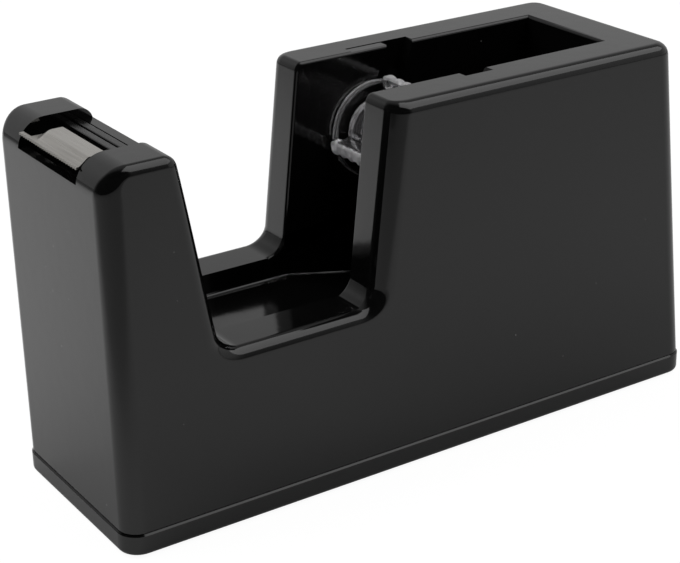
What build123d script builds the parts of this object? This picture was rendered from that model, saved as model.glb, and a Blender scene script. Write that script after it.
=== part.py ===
from build123d import *
import math
import os

# Weighted desk tape dispenser: a moulded body with a cutter tower, a saddle and an open roll housing.
# Millimetres. +Z is up and X runs along the length, with the cutter at -X and the roll housing at +X.
# The origin is on the resting surface, under the middle of the base.

# Overall sizes
body_length = 153.0
body_width = 50.0
body_top_z = 85.0
saddle_rim_z = 40.5
seam_z = 5.4

# Tower and housing, seen from the side
tower_top_length = 16.8
tower_rear_lean = 8.4
housing_top_length = 77.5
housing_front_lean = 5.4
housing_rear_lean = 8.0
saddle_corner_radius = 7.5
cheek_front_radius = 6.5

# Roundings of the moulding
rear_corner_radius = 4.5
front_corner_radius = 3.6
saddle_rounding = 3.0
top_rounding = 2.2
seam_chamfer = 0.35

# Walls of the moulding
outer_wall = 2.5
well_wall = 2.2

# Roll well, and the trough that it ends in at the saddle
channel_width = 27.0
trough_floor_z = 35.2
trough_corner_radius = 4.0
roll_radius = 41.0
well_rear_rim = 12.0
well_rear_lean = 3.0
well_corner_radius = 12.0

# Slanted spool slots in the housing walls
axle_setback = 20.0
axle_z = 66.3
slot_lean = 7.6
slot_depth = 3.1
slot_wall = 1.8
ledge_depth = 0.25
ledge_front = 15.1
ledge_rear = 5.2

# Axle and clear core
stub_diameter = 5.4
stub_clearance = 0.15
stub_end_clearance = 0.3
stub_chamfer = 0.4
axle_diameter = 11.0
axle_shoulder_clearance = 0.5
core_side_clearance = 0.9
core_bore_clearance = 0.07
hub_wall = 1.6
ring_radius = 11.8
ring_band = 1.5
ring_width = 2.2
bar_count = 3
bar_turn = -49.0
bar_width = 3.4
bar_thickness = 1.8
bar_rounding = 0.8
weld_depth = 0.3
bar_outer_radius = 12.6
fin_thickness = 1.1
bump_count = 4
bump_height = 0.3
bump_length = 1.2

# Cutter
front_wall_top_z = 79.3
rear_wall_top_z = 83.0
cutter_wall = 2.2
bed_seat_z = 77.6
bed_clearance = 0.15
bed_top_z = 82.2
bed_wall = 2.0
blade_tip_inset = 0.3
blade_thickness = 0.5
blade_length = 7.0
blade_flange_drop = 2.0
blade_side_clearance = 0.3
tooth_pitch = 1.0
tooth_depth = 0.7
hump_width = 20.0
hump_shift = -1.6
hump_height = 1.6
hump_start = 0.9
hump_ramp = 2.2
hump_corner_radius = 1.6
boss_clearance = 0.15
tape_slot_width = 2.0
rib_count = 3
rib_width = 1.4
rib_gap = 0.9
rib_height = 1.9
rib_rounding = 0.5

# Base plate and pad
base_proud = 0.3
base_floor = 3.0
base_wall = 2.6
base_bottom_rounding = 1.2
lip_height = 2.6
lip_thickness = 1.4
lip_clearance = 0.45
pad_end_margin = 20.5
pad_side_margin = 7.0
pad_thickness = 1.5
pad_proud = 0.4
pad_clearance = 0.2
pad_corner_radius = 3.0

# Weights
ballast_corner_radius = 3.0
ballast_side_gap = 6.0
ballast_front_gap = 17.5
ballast_rear_gap = 18.5
ballast_middle_gap = 6.0
ballast_well_gap = 6.3
ballast_top_gap = 2.7
ballast_screw_share = 0.56

# Screws
base_screw_end_inset = 8.0
base_screw_side_inset = 6.2
base_screw_length = 14.0
ballast_screw_length = 12.0
shank_diameter = 3.0
shank_point = 1.0
thread_clearance = 0.05
shank_hole_diameter = 3.4
head_diameter = 5.6
head_height = 2.0
head_rim = 0.6
head_pocket_diameter = 6.4
head_sink = 0.2
recess_length = 3.0
recess_width = 0.8
recess_depth = 1.0
boss_diameter = 8.0
boss_gap = 0.3
blind_extra = 1.5
shell_boss_height = 15.0

# Worked out from the sizes above
half_width = body_width / 2
half_channel = channel_width / 2
front_x = -body_length / 2
rear_x = body_length / 2
housing_rear_x = rear_x - housing_rear_lean
housing_front_x = housing_rear_x - housing_top_length
axle_x = housing_front_x + axle_setback
tower_rear_x = front_x + tower_top_length
tower_slope = tower_rear_lean / (body_top_z - saddle_rim_z)
housing_front_slope = housing_front_lean / (body_top_z - saddle_rim_z)
well_rear_slope = well_rear_lean / (body_top_z - trough_floor_z)
well_floor_z = axle_z - roll_radius
slot_radius = stub_diameter / 2 + stub_clearance
slot_floor_y = half_channel + slot_depth
base_bottom_z = pad_proud
base_inner_z = base_bottom_z + base_floor
core_half_length = half_channel - core_side_clearance
axle_radius = axle_diameter / 2
hub_radius = axle_radius + core_bore_clearance + hub_wall
blade_tip_x = front_x + blade_tip_inset
blade_rear_x = blade_tip_x + blade_length
blade_top_z = bed_top_z + blade_thickness
hump_top_z = blade_top_z + hump_height
pocket_front_x = front_x + cutter_wall
pad_length = body_length - 2 * pad_end_margin
pad_width = body_width - 2 * pad_side_margin
base_screw_x = rear_x - base_screw_end_inset
base_screw_y = half_width - base_screw_side_inset
well_start_x = axle_x - math.sqrt(roll_radius**2 - (axle_z - trough_floor_z) ** 2)
front_ballast_span = (front_x + ballast_front_gap, well_start_x - ballast_well_gap)
rear_ballast_span = (front_ballast_span[1] + ballast_middle_gap, rear_x - ballast_rear_gap)
front_ballast_top_z = trough_floor_z - well_wall - ballast_top_gap
rear_ballast_top_z = well_floor_z - well_wall - ballast_top_gap
overcut = 6.0
cut_past = 1.0
margin = 0.5
near = 0.01


def tower_rear_at(z):
    return tower_rear_x + (body_top_z - z) * tower_slope


def housing_front_at(z):
    return housing_front_x - (body_top_z - z) * housing_front_slope


def well_rear_at(z):
    return housing_rear_x - well_rear_rim - (body_top_z - z) * well_rear_slope


def side_prism(points, radii, half):
    """Solid with this outline in the XZ plane, from y = -half to y = half; radii round its corners."""
    outline = FilletPolyline(*[(x, z) for x, z in points], radius=radii, close=True)
    return extrude(Plane.XZ * make_face(outline), amount=half, both=True)


def box(x0, x1, y0, y1, z0, z1):
    return Pos((x0 + x1) / 2, (y0 + y1) / 2, (z0 + z1) / 2) * Box(x1 - x0, y1 - y0, z1 - z0)


def rounded_plate(length, width, radius, z0, z1):
    """Upright prism with a rounded rectangle as its plan, centred on the Z axis."""
    return extrude(Pos(0, 0, z0) * RectangleRounded(length, width, radius), amount=z1 - z0)


def rod_along_y(x, z, radius, y0, y1):
    return Pos(x, (y0 + y1) / 2, z) * (Rot(90, 0, 0) * Cylinder(radius, y1 - y0))


def upright_rod(x, y, radius, z0, z1):
    return Pos(x, y, (z0 + z1) / 2) * Cylinder(radius, z1 - z0)


def edges_where(solid, test):
    return solid.edges().filter_by(lambda edge: test(edge.center()))


def base_screw_places():
    return [(sx * base_screw_x, sy * base_screw_y) for sx in (-1, 1) for sy in (-1, 1)]


def screw_places_in(span):
    """The two screws of a weight that runs over this span of x."""
    middle = (span[0] + span[1]) / 2
    reach = (span[1] - span[0]) * ballast_screw_share / 2
    return [(middle - reach, 0), (middle + reach, 0)]


def ballast_screw_places():
    return screw_places_in(front_ballast_span) + screw_places_in(rear_ballast_span)


# ---- Body shell ----


def body_outline():
    """Corners of the body seen from the side, from the front foot round to the rear foot."""
    return [
        (front_x, seam_z),
        (front_x, body_top_z),
        (tower_rear_x, body_top_z),
        (tower_rear_at(saddle_rim_z), saddle_rim_z),
        (housing_front_at(saddle_rim_z), saddle_rim_z),
        (housing_front_x, body_top_z),
        (housing_rear_x, body_top_z),
        (rear_x, seam_z),
    ]


def outer_block():
    """The outside of the moulding, still solid, with its outer edges rounded."""
    radii = [0, cheek_front_radius, 0, saddle_corner_radius, saddle_corner_radius, 0, 0, 0]
    block = side_prism(body_outline(), radii, half_width)

    def on_side(c):
        return abs(abs(c.Y) - half_width) < near and c.Z > seam_z + margin

    front = edges_where(block, lambda c: on_side(c) and c.X < tower_rear_x - margin)
    block = fillet(front, front_corner_radius)
    rear = edges_where(
        block, lambda c: on_side(c) and c.X > housing_rear_x - margin and c.Z < body_top_z - margin
    )
    block = fillet(rear, rear_corner_radius)
    saddle = edges_where(
        block,
        lambda c: on_side(c)
        and c.Z < body_top_z - margin
        and tower_rear_x - margin < c.X < housing_front_x + margin,
    )
    block = fillet(saddle, saddle_rounding)
    tops = [f for f in block.faces().filter_by(Axis.Z) if abs(f.center().Z - body_top_z) < near]
    housing_top = max(tops, key=lambda f: f.center().X)
    block = fillet(housing_top.edges(), top_rounding)
    foot = edges_where(block, lambda c: abs(c.Z - seam_z) < near)
    return chamfer(foot, seam_chamfer)


def well_space(grow=0.0):
    """Room for the roll and the trough in front of it, grown on every side."""
    top_z = body_top_z + overcut
    low_z = well_floor_z - grow
    floor_z = trough_floor_z - grow
    mouth_z = saddle_rim_z + saddle_corner_radius
    half = half_channel + grow
    trough = side_prism(
        [
            (tower_rear_at(floor_z) - grow, floor_z),
            (well_rear_at(floor_z) + grow, floor_z),
            (well_rear_at(top_z) + grow, top_z),
            (housing_front_x - overcut, top_z),
            (housing_front_at(mouth_z) - overcut, mouth_z),
            (tower_rear_at(mouth_z) - grow, mouth_z),
        ],
        [trough_corner_radius + grow, 0, 0, 0, 0, 0],
        half,
    )
    rear_foot = side_prism(
        [
            (axle_x, low_z),
            (well_rear_at(low_z) + grow, low_z),
            (well_rear_at(axle_z) + grow, axle_z),
            (axle_x, axle_z),
        ],
        [0, well_corner_radius + grow, 0, 0],
        half,
    )
    roll = rod_along_y(axle_x, axle_z, roll_radius + grow, -half, half)
    return trough + rear_foot + roll


def slot_space(side_grow=0.0, half=slot_floor_y):
    """The two slanted slots for the axle ends, as one prism across the channel."""
    radius = slot_radius + side_grow
    length = math.hypot(slot_lean, body_top_z - axle_z)
    along = (slot_lean / length, (body_top_z - axle_z) / length)
    reach = length + overcut
    foot = [(axle_x + s * along[1] * radius, axle_z - s * along[0] * radius) for s in (1, -1)]
    mouth = [(x + along[0] * reach, z + along[1] * reach) for x, z in reversed(foot)]
    return side_prism(foot + mouth, [0] * 4, half) + rod_along_y(axle_x, axle_z, radius, -half, half)


def ledge_space():
    """Shallow recess in the rim round the mouth of each slot."""
    mouth_x = axle_x + slot_lean
    return box(
        mouth_x - ledge_front,
        mouth_x + ledge_rear,
        -slot_floor_y,
        slot_floor_y,
        body_top_z - ledge_depth,
        body_top_z + overcut,
    )


def cutter_space():
    """Channel between the tower's cheeks, with the pocket that the bed drops into."""
    rear = tower_rear_at(rear_wall_top_z) - cutter_wall
    return side_prism(
        [
            (front_x - overcut, front_wall_top_z),
            (pocket_front_x, front_wall_top_z),
            (pocket_front_x, bed_seat_z),
            (rear, bed_seat_z),
            (rear, rear_wall_top_z),
            (tower_rear_x + overcut, rear_wall_top_z),
            (tower_rear_x + overcut, body_top_z + overcut),
            (front_x - overcut, body_top_z + overcut),
        ],
        [0] * 8,
        half_channel,
    )


def shell_cavity():
    """Hollow under the moulding, which leaves its walls, the slot walls and the screw bosses."""
    top = body_top_z - outer_wall
    rim = saddle_rim_z - outer_wall
    points = [
        (front_x + outer_wall, seam_z - overcut),
        (front_x + outer_wall, top),
        (tower_rear_at(top) - outer_wall, top),
        (tower_rear_at(rim) - outer_wall, rim),
        (housing_front_at(rim) + outer_wall, rim),
        (housing_front_at(top) + outer_wall, top),
        (housing_rear_x - outer_wall, top),
        (rear_x - outer_wall, seam_z),
        (rear_x - outer_wall, seam_z - overcut),
    ]
    front_round = cheek_front_radius - outer_wall
    saddle_round = saddle_corner_radius + outer_wall
    radii = [0, front_round, 0, saddle_round, saddle_round, 0, 0, 0, 0]
    cavity = side_prism(points, radii, half_width - outer_wall)
    cavity -= well_space(well_wall)
    cavity -= box(
        front_x,
        tower_rear_at(bed_seat_z) + overcut,
        -half_channel - well_wall,
        half_channel + well_wall,
        bed_seat_z - well_wall,
        body_top_z,
    )
    cavity -= slot_space(slot_wall, slot_floor_y + slot_wall)
    for x, y in base_screw_places():
        cavity -= upright_rod(x, y, boss_diameter / 2, seam_z, seam_z + shell_boss_height)
        outward = math.copysign(half_width, y)
        cavity -= box(
            x - boss_diameter / 2,
            x + boss_diameter / 2,
            min(y, outward),
            max(y, outward),
            seam_z,
            seam_z + shell_boss_height,
        )
    return cavity


def make_body_shell():
    shell = outer_block() - shell_cavity() - well_space()
    shell -= slot_space()
    shell -= ledge_space()
    shell -= cutter_space()
    for x, y in base_screw_places():
        depth = base_screw_length - base_floor + blind_extra
        radius = shank_diameter / 2 + thread_clearance
        shell -= upright_rod(x, y, radius, seam_z - cut_past, seam_z + depth)
    return shell


# ---- Cutter ----


def make_cutter_bed():
    """Insert between the cheeks: a seat for the blade, a slot behind it and ribs for the tape."""
    half = half_channel - bed_clearance
    front = pocket_front_x + bed_clearance
    rear = tower_rear_at(rear_wall_top_z) - cutter_wall - bed_clearance
    bed = box(front, rear, -half, half, bed_seat_z, bed_top_z)
    boss_front = blade_tip_x + hump_start + hump_ramp + blade_thickness + boss_clearance
    boss_rear = blade_rear_x - blade_thickness - boss_clearance
    boss_half = hump_width / 2 - blade_thickness - boss_clearance
    boss_top = hump_top_z - blade_thickness - boss_clearance
    bed += box(
        boss_front, boss_rear, hump_shift - boss_half, hump_shift + boss_half, bed_top_z, boss_top
    )
    slot_front = blade_rear_x - blade_thickness - boss_clearance
    slot_rear = slot_front + tape_slot_width
    slot_floor = bed_top_z - blade_flange_drop - boss_clearance
    bed -= box(slot_front, slot_rear, -half - cut_past, half + cut_past, slot_floor, body_top_z)
    for i in range(rib_count):
        x = slot_rear + i * (rib_width + rib_gap)
        if x + rib_width <= rear:
            bed += box(x, x + rib_width, -half, half, bed_top_z, bed_top_z + rib_height)
    ribs = edges_where(bed, lambda c: abs(c.Y) < near and c.Z > bed_top_z + rib_height - near)
    bed = fillet(ribs.filter_by(lambda e: e.center().X > slot_rear - near), rib_rounding)
    hollow = box(
        front + bed_wall, slot_front - bed_wall / 2, -half + bed_wall, half - bed_wall,
        bed_seat_z - cut_past, bed_top_z - bed_wall,
    )
    return bed - hollow


def blade_teeth(half):
    """Prism of the notches along the blade's front edge."""
    count = int(2 * half / tooth_pitch)
    start = -count * tooth_pitch / 2
    past_x, past_y = blade_tip_x - cut_past, half + cut_past
    points = [(past_x, -past_y), (past_x, past_y), (blade_tip_x, past_y)]
    for i in range(count, 0, -1):
        y = start + i * tooth_pitch
        points.append((blade_tip_x, y))
        points.append((blade_tip_x + tooth_depth, y - tooth_pitch / 2))
    points += [(blade_tip_x, start), (blade_tip_x, -past_y)]
    face = Pos(0, 0, bed_top_z - cut_past) * make_face(Polyline(*points, close=True))
    return extrude(face, amount=blade_thickness + 2 * cut_past)


def hump_block(grow):
    """Raised platform of the blade: a ramp up, a flat top, and ends rounded in plan."""
    front = blade_tip_x + hump_start - grow
    top = hump_top_z + grow
    platform = side_prism(
        [
            (front, bed_top_z - overcut),
            (front, blade_top_z + grow),
            (front + hump_ramp, top),
            (blade_rear_x + grow, top),
            (blade_rear_x + grow, bed_top_z - overcut),
        ],
        [0] * 5,
        hump_width / 2 + grow,
    )
    corners = edges_where(
        platform, lambda c: abs(c.Y) > hump_width / 2 + grow - near and abs(c.X - front) < near
    )
    return Pos(0, hump_shift, 0) * fillet(corners, hump_corner_radius + grow)


def make_cutter_blade():
    """Pressed steel blade: toothed strip, raised platform and a flange down into the bed."""
    half = half_channel - blade_side_clearance
    strip = box(blade_tip_x, blade_rear_x, -half, half, bed_top_z, blade_top_z)
    skin = hump_block(0.0) - hump_block(-blade_thickness)
    skin &= box(blade_tip_x, blade_rear_x, -half, half, bed_top_z, body_top_z)
    flange_top = bed_top_z + blade_thickness
    flange = box(
        blade_rear_x - blade_thickness, blade_rear_x, -half, half,
        bed_top_z - blade_flange_drop, flange_top,
    )
    rear_clear = box(
        blade_tip_x, blade_rear_x - blade_thickness, -half, half, bed_top_z - cut_past, body_top_z
    )
    blade = strip - (hump_block(-blade_thickness) & rear_clear)
    blade = blade + skin + flange
    return blade - blade_teeth(half)


# ---- Clear core and axle ----


def make_spool_half(side):
    """Half of the clear core: hub, fins, gripping bars and an end ring. side is -1 near, 1 far."""
    end = core_half_length

    def ring(outer, inner, y0, y1):
        solid = rod_along_y(axle_x, axle_z, outer, y0, y1)
        return solid - rod_along_y(axle_x, axle_z, inner, y0 - cut_past, y1 + cut_past)

    half = ring(hub_radius, axle_radius + core_bore_clearance, 0, end)
    half += ring(ring_radius, ring_radius - ring_band, end - ring_width, end)
    bar_inner = bar_outer_radius - bar_thickness
    for i in range(bar_count):
        turn = 360 / bar_count * i + bar_turn
        fin_half = fin_thickness / 2
        fin = box(hub_radius - weld_depth, bar_inner + weld_depth, 0, end, -fin_half, fin_half)
        bar = box(bar_inner, bar_outer_radius, 0, end, -bar_width / 2, bar_width / 2)
        crown = edges_where(bar, lambda c: c.X > bar_outer_radius - near and abs(c.Z) > near)
        bar = fillet(crown, bar_rounding)
        for k in range(bump_count):
            y = end * (k + 0.5) / bump_count
            bar += box(
                bar_outer_radius - bar_thickness / 2,
                bar_outer_radius + bump_height,
                y - bump_length / 2,
                y + bump_length / 2,
                -bar_width / 4,
                bar_width / 4,
            )
        half += Pos(axle_x, 0, axle_z) * Rot(0, -turn, 0) * (fin + bar)
    if side < 0:
        half = mirror(half, about=Plane.XZ)
    return half


def make_spool_axle():
    """Axle that the core turns on, with a stub at each end that sits in a slot."""
    shoulder = half_channel - axle_shoulder_clearance
    end = slot_floor_y - stub_end_clearance
    body = rod_along_y(axle_x, axle_z, axle_radius, -shoulder, shoulder)
    stubs = rod_along_y(axle_x, axle_z, stub_diameter / 2, -end, end)
    ends = edges_where(stubs, lambda c: abs(c.Y) > end - near)
    return body + chamfer(ends, stub_chamfer)


# ---- Base plate, pad and weights ----


def make_base_plate():
    """Bottom cover: a shallow tray with a lip inside the shell and bosses for the screws."""
    length = body_length + 2 * base_proud
    width = body_width + 2 * base_proud
    radius = rear_corner_radius + base_proud
    plate = rounded_plate(length, width, radius, base_bottom_z, seam_z)
    bottom = edges_where(plate, lambda c: c.Z < base_bottom_z + near)
    plate = fillet(bottom, base_bottom_rounding)
    top = edges_where(plate, lambda c: c.Z > seam_z - near)
    plate = chamfer(top, seam_chamfer)
    inner_radius = radius - base_wall
    plate -= rounded_plate(
        length - 2 * base_wall, width - 2 * base_wall, inner_radius, base_inner_z, seam_z + cut_past
    )
    inset = outer_wall + lip_clearance
    lip_length = body_length - 2 * inset
    lip_width = body_width - 2 * inset
    lip_radius = rear_corner_radius - outer_wall
    lip = rounded_plate(lip_length, lip_width, lip_radius, base_inner_z, seam_z + lip_height)
    lip -= rounded_plate(
        lip_length - 2 * lip_thickness,
        lip_width - 2 * lip_thickness,
        lip_radius - lip_thickness / 2,
        base_inner_z - cut_past,
        seam_z + lip_height + cut_past,
    )
    for x, y in base_screw_places():
        gap = boss_diameter / 2 + boss_gap
        lip -= box(x - gap, x + gap, y - gap, y + 2 * gap, seam_z, seam_z + lip_height + cut_past)
        lip -= box(x - gap, x + gap, y - 2 * gap, y + gap, seam_z, seam_z + lip_height + cut_past)
    plate += lip
    for x, y in base_screw_places() + ballast_screw_places():
        plate += upright_rod(x, y, boss_diameter / 2, base_inner_z, seam_z)
    plate -= rounded_plate(
        pad_length + 2 * pad_clearance,
        pad_width + 2 * pad_clearance,
        pad_corner_radius + pad_clearance,
        base_bottom_z - cut_past,
        pad_thickness,
    )
    for x, y in base_screw_places():
        plate -= screw_way(x, y, base_bottom_z)
    for x, y in ballast_screw_places():
        plate -= screw_way(x, y, pad_thickness)
    return plate


def screw_way(x, y, face_z):
    """Head pocket and shank hole for a screw driven up from a face at this height."""
    pocket_top = face_z + head_sink + head_height
    pocket = upright_rod(x, y, head_pocket_diameter / 2, face_z - overcut, pocket_top)
    return pocket + upright_rod(x, y, shank_hole_diameter / 2, face_z, seam_z + cut_past)


def make_non_slip_pad():
    return rounded_plate(pad_length, pad_width, pad_corner_radius, 0, pad_thickness)


def make_ballast(span, top_z):
    """Cast block that rests on the base plate and fits over two of its bosses."""
    length = span[1] - span[0]
    width = body_width - 2 * ballast_side_gap
    plate = rounded_plate(length, width, ballast_corner_radius, base_inner_z, top_z)
    block = Pos((span[0] + span[1]) / 2, 0, 0) * plate
    top = edges_where(block, lambda c: c.Z > top_z - near)
    block = fillet(top, ballast_corner_radius / 2)
    for x, y in screw_places_in(span):
        boss_top = seam_z + boss_gap / 2
        block -= upright_rod(x, y, boss_diameter / 2 + boss_gap, base_inner_z - cut_past, boss_top)
        hole_radius = shank_diameter / 2 + thread_clearance
        hole_top = pad_thickness + head_sink + head_height + ballast_screw_length + blind_extra
        block -= upright_rod(x, y, hole_radius, base_inner_z, hole_top)
    return block


# ---- Screws ----


def make_screw(x, y, face_z, length):
    """Pan-head screw driven upwards, with a cross recess; face_z is the face that it is sunk in."""
    head_low = face_z + head_sink
    head = upright_rod(x, y, head_diameter / 2, head_low, head_low + head_height)
    head = fillet(edges_where(head, lambda c: c.Z < head_low + near), head_rim)
    shank_top = head_low + head_height + length
    shank = upright_rod(x, y, shank_diameter / 2, head_low + head_height / 2, shank_top)
    shank = chamfer(edges_where(shank, lambda c: c.Z > shank_top - near), shank_point)
    screw = head + shank
    for wide, deep in ((recess_length, recess_width), (recess_width, recess_length)):
        screw -= box(
            x - wide / 2, x + wide / 2, y - deep / 2, y + deep / 2,
            head_low - cut_past, head_low + recess_depth,
        )
    return screw


def make_base_screws():
    screws = [make_screw(x, y, base_bottom_z, base_screw_length) for x, y in base_screw_places()]
    return Compound(children=screws)


def make_ballast_screws():
    places = ballast_screw_places()
    screws = [make_screw(x, y, pad_thickness, ballast_screw_length) for x, y in places]
    return Compound(children=screws)


nodes = {
    "body_shell": make_body_shell,
    "cutter_bed": make_cutter_bed,
    "cutter_blade": make_cutter_blade,
    "spool_half_near": lambda: make_spool_half(-1),
    "spool_half_far": lambda: make_spool_half(1),
    "spool_axle": make_spool_axle,
    "base_plate": make_base_plate,
    "non_slip_pad": make_non_slip_pad,
    "front_ballast": lambda: make_ballast(front_ballast_span, front_ballast_top_z),
    "rear_ballast": lambda: make_ballast(rear_ballast_span, rear_ballast_top_z),
    "base_screws": make_base_screws,
    "ballast_screws": make_ballast_screws,
}

os.makedirs("parts", exist_ok=True)
for name, make in nodes.items():
    export_step(make(), f"parts/{name}.step")
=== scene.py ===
"""Looks of the weighted desk tape dispenser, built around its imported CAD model."""

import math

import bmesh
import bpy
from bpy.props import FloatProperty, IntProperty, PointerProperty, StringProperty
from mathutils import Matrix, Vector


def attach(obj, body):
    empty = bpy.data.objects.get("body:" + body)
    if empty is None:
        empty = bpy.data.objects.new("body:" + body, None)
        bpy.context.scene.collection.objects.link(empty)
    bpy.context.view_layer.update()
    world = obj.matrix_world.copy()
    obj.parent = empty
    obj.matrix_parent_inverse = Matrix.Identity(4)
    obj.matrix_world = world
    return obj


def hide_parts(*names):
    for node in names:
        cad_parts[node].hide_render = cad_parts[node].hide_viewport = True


bl_info = {
    "name": "Weighted desk tape dispenser",
    "version": (1, 0, 0),
    "blender": (4, 5, 0),
    "location": "3D View > Sidebar > Tape Dispenser",
    "description": "Models the moulding, cutter and clear core of a desk tape dispenser, with its stage",
    "category": "Object",
}

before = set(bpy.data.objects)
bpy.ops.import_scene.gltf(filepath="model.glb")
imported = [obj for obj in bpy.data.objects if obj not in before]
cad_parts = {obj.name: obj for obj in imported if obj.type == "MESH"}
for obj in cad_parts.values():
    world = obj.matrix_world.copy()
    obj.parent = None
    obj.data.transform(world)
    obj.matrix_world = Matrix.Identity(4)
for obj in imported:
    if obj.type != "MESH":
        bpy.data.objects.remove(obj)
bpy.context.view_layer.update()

MM = 0.001

# Places in millimetres, as in the CAD. X runs from the cutter to the roll housing.
FRONT_X, REAR_X = -76.5, 76.5
HALF_WIDTH, HALF_CHANNEL = 25.0, 13.5
SEAM_Z, RIM_Z, TOP_Z = 5.4, 40.5, 85.0
TOWER_REAR_X, TOWER_REAR_LEAN = -59.7, 8.4
HOUSING_FRONT_X, HOUSING_FRONT_LEAN = -9.0, 5.4
HOUSING_REAR_X = 68.5
AXLE_X, AXLE_Z = 11.0, 66.3
SPARE = 8.0

# Roll well: the trough, the slope behind it, and the foot under the roll's rear half.
TROUGH_FLOOR_Z, WELL_FLOOR_Z = 35.2, 25.3
TROUGH_FRONT_ROUNDING, WELL_REAR_ROUNDING = 4.0, 12
SLOPE_X, SLOPE_REAR_X, FOOT_X, WELL_REAR_X = -13.6, 36, 35, 56
WELL_REAR_WALL, WELL_REAR_LEAN = 12.0, 3.0

# Spool slots: half their width, how deep they go into the walls, and how far they lean at the rim.
SLOT_HALF, SLOT_DEPTH, SLOT_LEAN = 2.85, 3.1, 7.6
LEDGE_X, LEDGE_REAR_X, LEDGE_DEPTH = 5.9, 18, 0.12

# Cutter: its walls, the seat of the insert, and the blade.
CUTTER_WALL, SEAT_Z, FRONT_WALL_Z, REAR_WALL_Z = 2.2, 77.6, 79.3, 82.6
BED_REAR_Z, BED_TOP_Z, RIB_TOP_Z, INSERT_GAP = 83, 81.9, 82.95, 0.15
BLADE_X, BLADE_REAR_X, BLADE_HALF, BLADE_Z = -76.2, -69.2, 13.2, 82.7
BLADE_THICKNESS, BLADE_FOLD, BLADE_STRIP = 0.45, 1.5, 1.1
HUMP_X, HUMP_FAR_Y, POCKET_Y = -75.3, 8.9, 9.4

# Clear core and its axle: radii, and half lengths along Y.
AXLE_RADIUS, AXLE_HALF, STUB_RADIUS, STUB_HALF = 5.5, 13.0, 2.7, 16.3
BORE_RADIUS, HUB_RADIUS, CORE_HALF = 5.57, 7.17, 12.6
RING_INNER, RING_OUTER, RING_WIDTH = 10.8, 11.5, 1.3
FROST_STARTS, FROST_FULL = 11.3, 11.8
BAR_TURNS = (71, 191, 311)

# Camera of the photograph: its place in millimetres, and its yaw, pitch and roll in degrees.
CAMERA_PLACE = (-212.529, -318.139, 200.877)
CAMERA_TURN = (57.204, -23.458, -1.318)

# Lamps: place and sides in metres. The back light stands beyond the cutter end, on the far side.
SOFTBOX_PLACE, SOFTBOX_SIDES = (0.346, -0.242, 0.795), (0.85, 0.85)
BACK_LIGHT_PLACE, BACK_LIGHT_SIDES = (-0.3, 0.22, 0.45), (0.6, 0.4)

# Strength of the background's white, where 1 is plain white. The floor mixes in only part of it.
WHITE_STRENGTH = 1.08


# ---------------------------------------------------------------- settings


class MouldingSettings(bpy.types.PropertyGroup):
    """Roundings of the black body."""

    corner: FloatProperty(
        name="Upright corners", description="Rounding of the body's upright corners",
        default=4.5 * MM, unit="LENGTH",
    )
    cheek: FloatProperty(
        name="Cheek sides", description="Rounding along the top of the cutter's cheeks",
        default=2.2 * MM, unit="LENGTH",
    )
    saddle: FloatProperty(
        name="Saddle rim", description="Rounding along the saddle's outer edges",
        default=2.8 * MM, unit="LENGTH",
    )
    bend: FloatProperty(
        name="Saddle bends", description="Radius of the saddle's two bends, seen from the side",
        default=4.8 * MM, unit="LENGTH",
    )
    rim: FloatProperty(
        name="Housing rim", description="Rounding round the outside of the housing's top",
        default=2.8 * MM, unit="LENGTH",
    )
    rim_front: FloatProperty(
        name="Housing rim, front", description="Rounding of the housing's top at its front edge",
        default=1.6 * MM, unit="LENGTH",
    )
    mouth: FloatProperty(
        name="Mouth", description="Rounding of the inner edges of the roll opening",
        default=0.8 * MM, unit="LENGTH",
    )
    trough: FloatProperty(
        name="Trough floor", description="Rounding where the trough's floor meets its walls",
        default=1.0 * MM, unit="LENGTH",
    )


class CutterSettings(bpy.types.PropertyGroup):
    """Sizes of the toothed blade."""

    tooth_pitch: FloatProperty(
        name="Tooth pitch", description="Distance from one tooth to the next",
        default=1.0 * MM, unit="LENGTH",
    )
    tooth_depth: FloatProperty(
        name="Tooth depth", description="Height of a tooth", default=0.7 * MM, unit="LENGTH",
    )
    hump_height: FloatProperty(
        name="Hump height", description="Rise of the pressed platform in the blade",
        default=1.6 * MM, unit="LENGTH",
    )


class CoreSettings(bpy.types.PropertyGroup):
    """Sizes of the clear core."""

    bumps: IntProperty(
        name="Bumps", description="Gripping bumps on each half of a bar", default=4, min=1, max=8,
    )


class FinishSettings(bpy.types.PropertyGroup):
    """Colours of the finishes, as sRGB hex."""

    body: StringProperty(name="Body", description="Colour of the glossy black plastic", default="#060606")
    bed: StringProperty(name="Bed", description="Colour of the ribbed insert", default="#080808")
    steel: StringProperty(name="Blade", description="Colour of the spring steel", default="#C7C4BF")
    clear: StringProperty(name="Core", description="Tint of the clear plastic", default="#F5F4F6")


class StageSettings(bpy.types.PropertyGroup):
    """Floor, light and camera."""

    floor: StringProperty(name="Floor", description="Colour of the floor", default="#F4F4F4")
    lens: FloatProperty(
        name="Lens", description="Focal length on a 36 mm wide sensor", default=96.206, min=20.0,
    )
    sky_behind: FloatProperty(
        name="Light behind", description="Strength of the surroundings behind the object",
        default=0.54, min=0.0,
    )
    sky_ahead: FloatProperty(
        name="Light ahead", description="Strength of the surroundings on the camera's side",
        default=0.03, min=0.0,
    )
    softbox: FloatProperty(
        name="Softbox", description="Power of the large soft lamp overhead",
        default=3.4, unit="POWER",
    )
    back_light: FloatProperty(
        name="Back light", description="Power of the soft lamp beyond the cutter end",
        default=1.7, unit="POWER",
    )


# ---------------------------------------------------------------- colour and nodes


def linear(hex_colour):
    """Linear RGBA of an sRGB hex colour."""
    text = hex_colour.lstrip("#")
    parts = [int(text[i:i + 2], 16) / 255 for i in (0, 2, 4)]
    return tuple(c / 12.92 if c <= 0.04045 else ((c + 0.055) / 1.055) ** 2.4 for c in parts) + (1.0,)


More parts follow.
